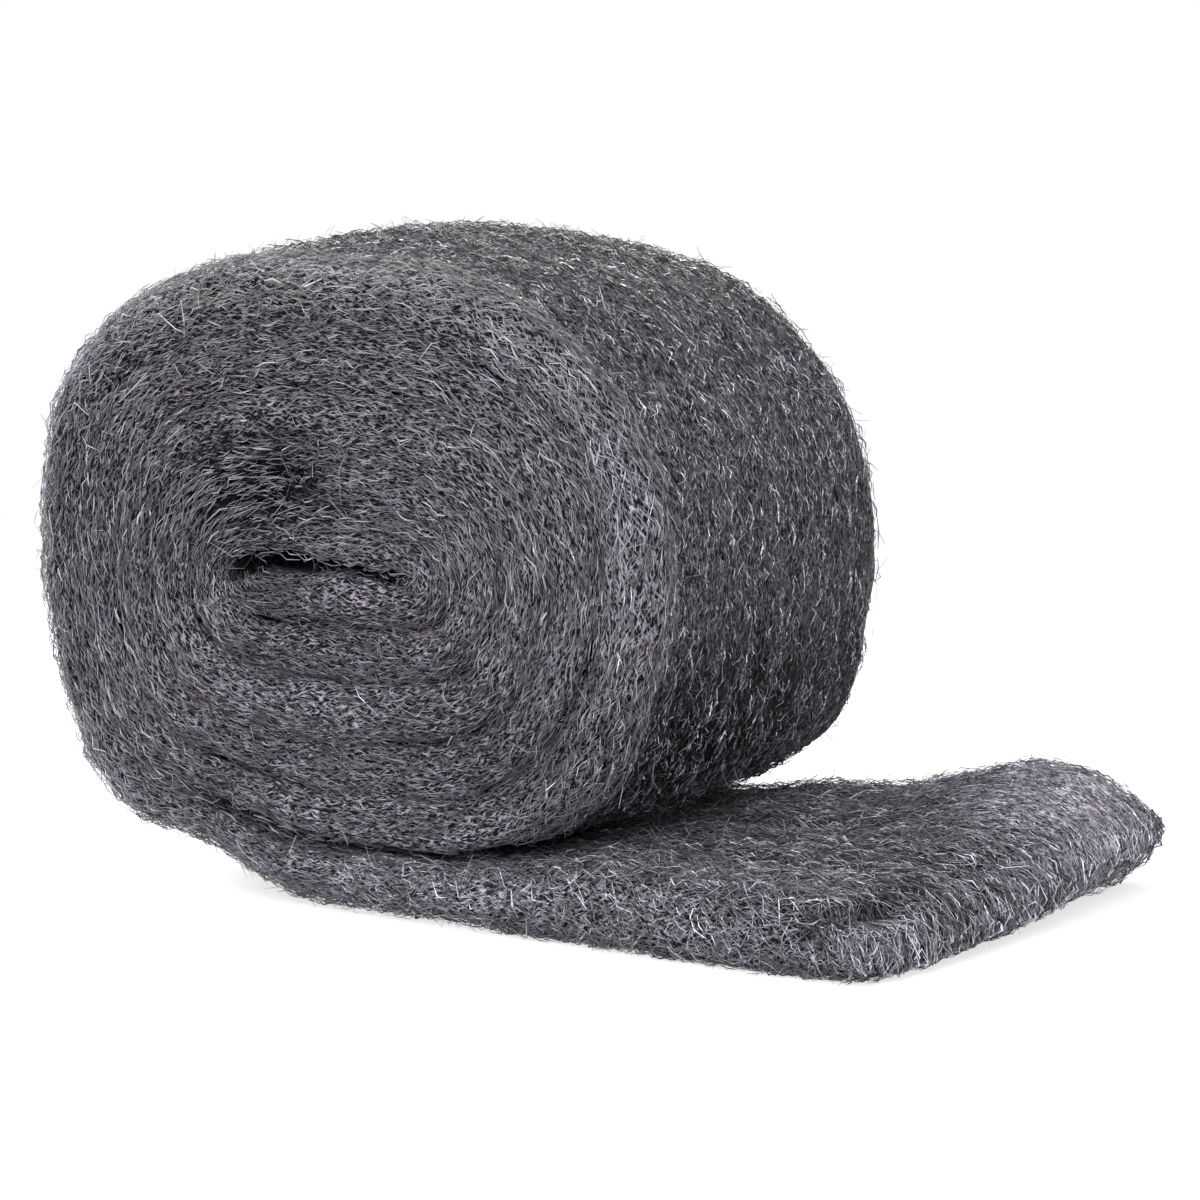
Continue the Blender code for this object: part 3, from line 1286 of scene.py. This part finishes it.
@dataclass(frozen=True)
class FibreLayer:
    """Loose fibres over one part of the skin, each a thin kinked wire with three flat sides.

    Slope, bend and kink are in radians. The lift is the range of heights of a fibre's middle over the
    skin, and the dive is how much lower its ends are. A spread is that of the chance draw.
    """

    coat: Coat
    skin: Skin
    count: int
    seed: int
    finish: FibreFinish = FibreFinish()
    length: float = 3.3 * MM
    length_spread: float = 0.35
    points: int = 3
    thickness: float = 0.106 * MM
    thickness_spread: float = 0.28
    thinning: float = 0.5
    slope: float = 0.35
    bend: float = 0.7
    most_bend: float = 1.4
    kink: float = 0.22
    lift: tuple[float, float] = (-0.6 * MM, 0.8 * MM)
    dive: float = 0.7 * MM
    least_dive: float = 0.3
    tilt: float = 0.0
    waver: float = 0.12 * MM
    lowest: float = 0.15 * MM
    bright: float = 1.0
    darkest_streak: float = 0.3
    shade_spread: float = 0.60
    shade_limits: tuple[float, float] = (0.18, 2.0)
    brightest: float = 4.0

    def ways(self, rng: np.random.Generator) -> tuple[np.ndarray, np.ndarray]:
        """Draws the way that each fibre runs over the skin.

        Args:
            rng: where the chance comes from.

        Returns:
            Metres along the winding and square to it, from each fibre's middle to its points.
        """
        legs = self.points - 1
        length = self.length * rng.lognormal(0.0, self.length_spread, (self.count, 1))
        heading = self.slope * rng.normal(size=(self.count, 1))
        bend = self.bend * np.clip(rng.normal(size=(self.count, 1)), -self.most_bend, self.most_bend)
        heading = heading + bend * np.linspace(-0.5, 0.5, legs)
        heading = heading + self.kink * rng.normal(size=(self.count, legs))
        none = np.zeros((self.count, 1))
        along = np.concatenate([none, np.cumsum(np.cos(heading), axis=1)], axis=1) * length / legs
        over = np.concatenate([none, np.cumsum(np.sin(heading), axis=1)], axis=1) * length / legs
        return along - along.mean(axis=1, keepdims=True), over - over.mean(axis=1, keepdims=True)

    def heights(self, rng: np.random.Generator) -> np.ndarray:
        """Draws how far each fibre's points stand out: its ends dive into the wool.

        Args:
            rng: where the chance comes from.

        Returns:
            Metres out from the skin to each point.
        """
        t = np.linspace(-1.0, 1.0, self.points)
        height = rng.uniform(*self.lift, (self.count, 1))
        height = height - self.dive * rng.uniform(self.least_dive, 1.0, (self.count, 1)) * t**2
        height = height + self.tilt * rng.normal(size=(self.count, 1)) * t
        return height + self.waver * rng.normal(size=(self.count, self.points))

    def paths(self) -> tuple[np.ndarray, np.ndarray]:
        """Draws the fibres' paths.

        Returns:
            An array of fibres by points by x, y, z, and how light each fibre's place is.
        """
        rng = np.random.default_rng(self.seed)
        start, side = self.skin.draw(rng, self.count)
        streak = np.maximum(self.skin.streak(start, side), self.darkest_streak)
        along, over = self.ways(rng)
        height = self.heights(rng)
        start, side = (np.broadcast_to(c[:, None], height.shape) for c in (start, side))
        placed = self.skin.points(start, side, along, over, height)
        placed[..., 2] = np.maximum(placed[..., 2], self.lowest)
        return placed, streak

    def wires(self, paths: np.ndarray, thick: np.ndarray, section: bpy.types.Object) -> bpy.types.Mesh:
        """Bends a wire along each path.

        Args:
            paths: an array of fibres by points by x, y, z.
            thick: how thick each wire is in its middle.
            section: the closed curve that each wire has for its section.

        Returns:
            One mesh with all the wires, in the order of the paths.
        """
        curve = bpy.data.curves.new(self.coat.value, "CURVE")
        curve.dimensions = "3D"
        curve.bevel_mode = "OBJECT"
        curve.bevel_object = section
        curve.use_fill_caps = True
        taper = 1.0 - self.thinning * np.abs(np.linspace(-1.0, 1.0, self.points)) ** 3
        flat = np.concatenate([paths, np.ones(paths.shape[:2] + (1,))], axis=2)
        for fibre, wide in zip(flat, thick):
            spline = curve.splines.new("POLY")
            spline.points.add(self.points - 1)
            spline.points.foreach_set("co", fibre.ravel())
            spline.points.foreach_set("radius", wide * taper)
            spline.use_smooth = False
        bent = link_object(self.coat.value + "_paths", curve)
        graph = bpy.context.evaluated_depsgraph_get()
        mesh = bpy.data.meshes.new_from_object(bent.evaluated_get(graph))
        mesh.name = self.coat.value
        bpy.data.objects.remove(bent)
        bpy.data.curves.remove(curve)
        return mesh

    def build(self, section: bpy.types.Object, painted_light_and_shade: PaintedLightAndShade) -> bpy.types.Object:
        """Builds the piece.

        Args:
            section: the closed curve that each wire has for its section.
            painted_light_and_shade: where light and shade are painted into the wool's colour, darker or
                lighter.

        Returns:
            The finished object, a mesh.
        """
        name = self.coat.value
        paths, streak = self.paths()
        rng = np.random.default_rng(self.seed + 1)
        thick = self.thickness * rng.lognormal(0.0, self.thickness_spread, len(paths))
        mesh = self.wires(paths, thick, section)
        # each fibre's shade carries the wool's own streaks, the rim's painted shade and the painted light
        # and shade
        tone_and_painted_light = self.bright * streak * painted_light_and_shade.over(paths.mean(axis=1))
        shade = np.clip(rng.lognormal(0.0, self.shade_spread, len(paths)), *self.shade_limits)
        shade = np.minimum(shade * tone_and_painted_light, self.brightest)
        give_numbers(mesh, "shade", np.repeat(shade, len(mesh.vertices) // len(paths)))
        mesh.materials.clear()
        mesh.materials.append(self.finish.material(name + "_steel"))
        piece = link_object(name, mesh)
        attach(piece, ROOT)
        return piece


@dataclass(frozen=True)
class FibreCoat:
    """All the loose fibres of the roll.

    The outer side's front band starts some degrees past the last full turn and ends a share of a turn
    before the strip leaves the roll. The free end's upper side shows from a share of its length on.
    """

    skin: StripSkin
    painted_light_and_shade: PaintedLightAndShade
    overlap: float = 1.5 * MM
    exposed_after: float = 30.0
    band_ends: float = 0.47
    top_starts: float = 0.28
    rim_from: float = 0.45
    rim_over: float = 4.0 * MM

    def stretches(self) -> dict[Coat, tuple[Stretch, ...]]:
        """Lists where the fibres of each layer on the strip's skin lie.

        Returns:
            The stretches of the skin for each layer.
        """
        strip = self.skin.strip
        edge, side, last = strip.edge_length, strip.side_length, strip.last_angle
        leave, end = strip.leave_run, strip.end_run
        exposed = strip.run_at(last - FULL_TURN + self.exposed_after)
        behind = strip.run_at(last - self.band_ends * FULL_TURN)
        top = strip.run_at(last + self.top_starts * FULL_TURN)
        near = (-self.overlap, edge + self.overlap)
        outer = (edge, edge + side)
        far = (edge + side - self.overlap, 2 * edge + side + self.overlap)
        inner = (2 * edge + side, strip.section_length)
        return {
            Coat.NEAR_EDGE: (Stretch(0.0, leave, *near),),
            Coat.FAR_EDGE: (Stretch(0.0, leave, *far),),
            Coat.FRONT_BAND: (Stretch(exposed, behind, *outer),),
            Coat.BACK_BAND: (Stretch(behind, leave, *outer),),
            Coat.RIM: (Stretch(exposed, leave, self.rim_from * edge, edge + self.rim_over),),
            Coat.FREE_END: (
                Stretch(leave, end, *near, share=0.30),
                Stretch(leave, end, *far, share=0.08),
                Stretch(top, end, *inner, share=0.55),
                Stretch(leave, end, *outer, share=0.07),
            ),
            Coat.STRAY: (
                Stretch(0.0, leave, *near, share=0.26),
                Stretch(0.0, leave, *far, share=0.14),
                Stretch(exposed, leave, *outer, share=0.32),
                Stretch(leave, end, *near, share=0.08),
                Stretch(top, end, *inner, share=0.20),
            ),
        }

    def layers(self) -> list[FibreLayer]:
        """Lists the layers.

        Returns:
            One layer for each part of the skin.
        """
        strip = self.skin.strip
        skins = {coat: self.skin.over(*places) for coat, places in self.stretches().items()}
        skins[Coat.NEAR_FACE] = FaceSkin(strip, -1.0)
        skins[Coat.FAR_FACE] = FaceSkin(strip, 1.0)
        skins[Coat.TIP] = TipSkin(strip, self.skin.relief)
        combed = {"slope": 0.20, "bend": 0.45, "kink": 0.15, "shade_spread": 0.48}
        flat = {"lift": (-0.7 * MM, 0.65 * MM), **combed}
        grainy = {"finish": FibreFinish(grain=0.55), "kink": 0.35, "shade_spread": 0.9}
        fine = {"slope": 0.2, "bend": 0.4, "kink": 0.15, "thickness": 0.090 * MM, "shade_spread": 0.20}
        tail = {"finish": FibreFinish(grain=0.30), "slope": 0.38, "thickness": 0.096 * MM}
        tip = {"slope": 1.5, "lift": (-0.2 * MM, 0.8 * MM)}
        stray = {
            "length": 3.6 * MM, "thickness": 0.063 * MM, "slope": 0.9, "bend": 1.2, "tilt": 0.95 * MM,
            "lift": (0.1 * MM, 1.3 * MM), "dive": 0.2 * MM, "shade_spread": 0.4,
        }
        plan = (
            (Coat.NEAR_EDGE, 3000, 11, {"bright": 0.80, **combed}),
            (Coat.NEAR_FACE, 9500, 12, {"bright": 0.78, "dive": 0.5 * MM, **flat}),
            (Coat.FAR_EDGE, 2200, 13, {"bright": 0.80, **combed}),
            (Coat.FAR_FACE, 5000, 14, {"bright": 0.80, **flat}),
            (Coat.FRONT_BAND, 12500, 15, {"bright": 1.08, "length": 2.6 * MM, **grainy}),
            (Coat.BACK_BAND, 6000, 16, {"bright": 1.08, **grainy}),
            # the rim fibres are lighter: a painted highlight along the rim's ridge
            (Coat.RIM, 6000, 17, {"bright": 1.26, **fine}),
            (Coat.FREE_END, 11500, 18, {"bright": 1.18, **tail}),
            (Coat.TIP, 2000, 19, tip),
            (Coat.STRAY, 6800, 20, {"bright": 0.9, **stray}),
        )
        return [FibreLayer(coat, skins[coat], count, seed, **sizes) for coat, count, seed, sizes in plan]

    def section(self) -> bpy.types.Object:
        """Draws the wires' section, a triangle.

        Returns:
            The closed curve.
        """
        ring = bpy.data.curves.new("wire_section", "CURVE")
        ring.dimensions = "2D"
        spline = ring.splines.new("POLY")
        spline.points.add(2)
        for number, point in enumerate(spline.points):
            swing = 2.0 * math.pi * number / 3.0
            point.co = (math.cos(swing), math.sin(swing), 0.0, 1.0)
        spline.use_cyclic_u = True
        return link_object("wire_section", ring)

    def build(self) -> list[bpy.types.Object]:
        """Builds every layer.

        Returns:
            The finished objects.
        """
        section = self.section()
        made = [layer.build(section, self.painted_light_and_shade) for layer in self.layers()]
        ring = section.data
        bpy.data.objects.remove(section)
        bpy.data.curves.remove(ring)
        return made


@dataclass(frozen=True)
class Lamp:
    """A soft square lamp that points at the roll."""

    name: str
    at: tuple[float, float, float]
    power: float
    size: float = 0.8
    aim: tuple[float, float, float] = (0.02, 0.0, 0.06)

    def build(self) -> bpy.types.Object:
        """Hangs the lamp.

        Returns:
            The lamp.
        """
        light = bpy.data.lights.new(self.name, "AREA")
        light.shape = "SQUARE"
        light.size = self.size
        light.energy = self.power
        lamp = link_object(self.name, light)
        lamp.location = self.at
        away = np.array(self.aim) - np.array(self.at)
        flat = math.hypot(away[0], away[1])
        lamp.rotation_euler = (math.atan2(flat, -away[2]), 0.0, math.atan2(-away[0], away[1]))
        return lamp


@dataclass(frozen=True)
class Studio:
    """A white floor, soft light and the camera."""

    eye: tuple[float, float, float] = (0.2723, -0.4384, 0.1201)
    azimuth: float = 29.2
    elevation: float = 7.4
    lens: float = 78.4
    lamps: tuple[Lamp, ...] = (
        Lamp("front", (0.30, -0.85, 0.60), power=10.3),
        Lamp("left", (-0.80, 0.10, 0.85), power=20.5),
    )
    floor_size: float = 12.0
    floor_clearance: float = 0.2 * MM
    floor_colour: tuple[float, float, float] = (0.5, 0.5, 0.5)
    floor_roughness: float = 0.9
    floor_glow: float = 0.68
    white_from: float = 0.30
    white_to: float = 0.60
    sky: float = 0.5

    def seen(self, tree: bpy.types.NodeTree) -> bpy.types.NodeSocket:
        """1 for what the camera sees, straight or in a gloss or through glass, and else 0.

        Args:
            tree: the node tree to add to.

        Returns:
            The socket with that number.
        """
        path = add_node(tree, "LightPath", {}).outputs
        seen = path["Is Camera Ray"]
        for name in ("Is Glossy Ray", "Is Transmission Ray"):
            seen = add_node(tree, "Math", {0: seen, 1: path[name]}, operation="MAXIMUM").outputs["Value"]
        return seen

    def floor_material(self) -> bpy.types.Material:
        """Pale and matt near the object, for its shadow, and plain white further out.

        Returns:
            The floor's material.
        """
        made, tree = new_material("floor_white")
        seen = self.seen(tree)
        glow = add_node(tree, "Math", {0: seen, 1: self.floor_glow}, operation="MULTIPLY")
        shader = tree.nodes["Principled BSDF"]
        matt = {"Roughness": self.floor_roughness, "Specular IOR Level": 0.0}
        glowing = {"Emission Color": WHITE, "Emission Strength": glow.outputs["Value"]}
        feed(tree, shader, {"Base Color": (*self.floor_colour, 1.0), **matt, **glowing})
        place = add_node(tree, "TexCoord", {}).outputs["Object"]
        away = add_node(tree, "VectorMath", {0: place}, operation="LENGTH").outputs["Value"]
        outside = add_node(
            tree,
            "MapRange",
            {"Value": away, "From Min": self.white_from, "From Max": self.white_to},
            interpolation_type="SMOOTHSTEP",
        )
        share = add_node(tree, "Math", {0: outside.outputs["Result"], 1: seen}, operation="MULTIPLY")
        white = add_node(tree, "Emission", {}).outputs["Emission"]
        shaders = {1: shader.outputs["BSDF"], 2: white}
        mixed = add_node(tree, "MixShader", {"Fac": share.outputs["Value"], **shaders})
        feed(tree, tree.nodes["Material Output"], {"Surface": mixed.outputs["Shader"]})
        return made

    def floor(self) -> bpy.types.Object:
        """Lays the floor, which shows white to the camera and keeps the object's shadow.

        Returns:
            The floor.
        """
        bm = bmesh.new()
        bmesh.ops.create_grid(bm, x_segments=1, y_segments=1, size=self.floor_size / 2)
        bmesh.ops.translate(bm, verts=bm.verts, vec=(0.0, 0.0, -self.floor_clearance))
        mesh = bpy.data.meshes.new("floor")
        bm.to_mesh(mesh)
        bm.free()
        mesh.materials.append(self.floor_material())
        floor = link_object("floor", mesh)
        return floor

    def world(self) -> None:
        """Sets the surroundings: white to the camera, a softer white to the object."""
        world = bpy.data.worlds.new("studio")
        bpy.context.scene.world = world
        world.use_nodes = True
        tree = world.node_tree
        level = add_node(tree, "MapRange", {"Value": self.seen(tree), "To Min": self.sky, "To Max": 1.0})
        feed(tree, tree.nodes["Background"], {"Color": WHITE, "Strength": level.outputs["Result"]})

    def camera(self) -> None:
        """Sets up the camera at the photograph's viewing angle."""
        data = bpy.data.cameras.new("camera")
        data.lens = self.lens
        camera = link_object("camera", data)
        camera.location = self.eye
        camera.rotation_euler = (math.radians(90.0 - self.elevation), 0.0, math.radians(self.azimuth))
        bpy.context.scene.camera = camera

    def build(self) -> None:
        """Builds the studio."""
        self.floor()
        self.world()
        for lamp in self.lamps:
            lamp.build()
        self.camera()
        bpy.context.scene.view_settings.view_transform = "Standard"


def main() -> None:
    """Builds the roll and its studio."""
    logging.basicConfig(level=logging.INFO, format="%(message)s")
    strip, crease = WoundStrip(), Crease()
    skin = StripSkin(strip, Relief().parts(strip, crease))
    painted_light_and_shade = PaintedLightAndShade(PaintedLightAndShade().places + crease.painted_light_and_shade(strip))
    pieces = [Mat(skin, painted_light_and_shade).build()]
    pieces += FibreCoat(skin, painted_light_and_shade).build()
    total = 0
    for piece in pieces:
        piece.data.calc_loop_triangles()
        count = len(piece.data.loop_triangles)
        total += count
        log.info("%s: %d triangles", piece.name, count)
    log.info("all pieces: %d triangles", total)
    Studio().build()


if __name__ == "__main__":
    main()
